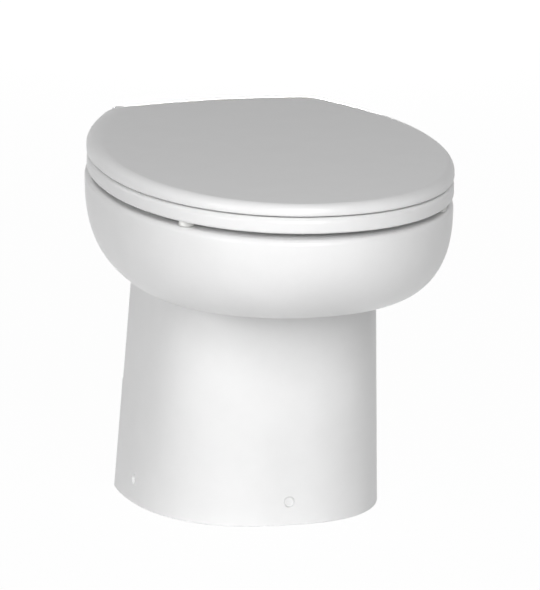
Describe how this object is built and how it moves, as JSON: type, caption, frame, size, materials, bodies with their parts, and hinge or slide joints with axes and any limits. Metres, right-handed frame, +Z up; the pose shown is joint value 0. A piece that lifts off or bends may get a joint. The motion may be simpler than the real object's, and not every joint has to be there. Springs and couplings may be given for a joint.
{
  "type": "electric marine toilet",
  "caption": "Compact one-piece ceramic toilet with a moulded seat and lid, a macerator pump and a rinse valve inside its pedestal.",
  "frame": {"origin": "on the floor, at the middle of the width and of the length of the bounding box", "axes": "+Z up from the floor, the front of the bowl faces -Y, the hinge and the service opening face +Y, +X to the right of a person who faces the toilet's back from the front"},
  "size_m": [0.36, 0.5115, 0.3884],
  "materials": {
    "glazed_china": "glossy",
    "white_seat_plastic": "glossy",
    "white_bumper_rubber": "satin",
    "stainless_steel": "satin",
    "white_nylon": "satin",
    "black_nylon": "satin",
    "green_polymer": "matte",
    "black_rubber": "matte",
    "cast_aluminium": "matte",
    "painted_steel": "satin",
    "bronze": "satin",
    "ferrite": "matte",
    "core_steel": "satin",
    "copper": "satin",
    "carbon": "matte"
  },
  "bodies": {
    "toilet": {"bowl_pedestal": "glazed_china", "hinge_posts": "white_seat_plastic", "screw_caps": "white_seat_plastic", "hinge_gaskets": "white_bumper_rubber", "hinge_pins": "stainless_steel", "hinge_studs": "stainless_steel", "side_screws": "stainless_steel", "chopper_plate": "stainless_steel", "motor_bolts": "stainless_steel", "housing_bolts": "stainless_steel", "housing_nuts": "stainless_steel", "foot_screws": "stainless_steel", "boot_clamps": "stainless_steel", "union_screws": "stainless_steel", "valve_guide": "stainless_steel", "plunger_spring": "stainless_steel", "bracket_screws": "stainless_steel", "rinse_clamps": "stainless_steel", "valve_bracket": "stainless_steel", "coil_nut": "stainless_steel", "hinge_washers": "white_nylon", "hinge_wing_nuts": "white_nylon", "rinse_spud": "white_nylon", "mounting_base": "black_nylon", "pump_cover": "black_nylon", "macerator_housing": "black_nylon", "volute_housing": "black_nylon", "seal_plate": "black_nylon", "discharge_elbow": "black_nylon", "discharge_spigot": "black_nylon", "valve_body": "black_nylon", "valve_coil": "black_nylon", "cable_gland": "black_nylon", "cover_seal": "black_rubber", "shaft_seal": "black_rubber", "pump_grommets": "black_rubber", "outlet_boot": "black_rubber", "joker_valve": "black_rubber", "rinse_gasket": "black_rubber", "rinse_hose": "black_rubber", "motor_flange": "cast_aluminium", "motor_end_cap": "cast_aluminium", "motor_can": "painted_steel", "motor_bushes": "bronze", "coil_terminals": "bronze", "motor_magnets": "ferrite", "motor_brushes": "carbon"},
    "seat": {"seat": "white_seat_plastic", "seat_bumpers": "white_bumper_rubber"},
    "lid": {"lid": "white_seat_plastic", "lid_bumpers": "white_bumper_rubber"},
    "rotor": {"motor_shaft": "stainless_steel", "armature_core": "core_steel", "commutator": "copper", "impeller": "green_polymer", "chopper_blade": "stainless_steel", "blade_nut": "stainless_steel"},
    "plunger": {"valve_plunger": "stainless_steel"}
  },
  "joints": [
    {"name": "seat_hinge", "type": "hinge", "parent": "toilet", "child": "seat", "pos_m": [0, 0.23815, 0.3745], "axis": [-1, 0, 0], "range_deg": [0, 95]},
    {"name": "lid_hinge", "type": "hinge", "parent": "seat", "child": "lid", "pos_m": [0, 0.23815, 0.3745], "axis": [-1, 0, 0], "range_deg": [0, 92]},
    {"name": "rotor_spin", "type": "hinge", "parent": "toilet", "child": "rotor", "pos_m": [0, 0, 0.064], "axis": [0, 1, 0], "continuous": true},
    {"name": "plunger_slide", "type": "slide", "parent": "toilet", "child": "plunger", "axis": [0, 0, 1], "range_m": [0, 0.003], "stiffness_N_per_m": 300, "springref_m": -0.008, "deforming": ["plunger_spring"]}
  ]
}
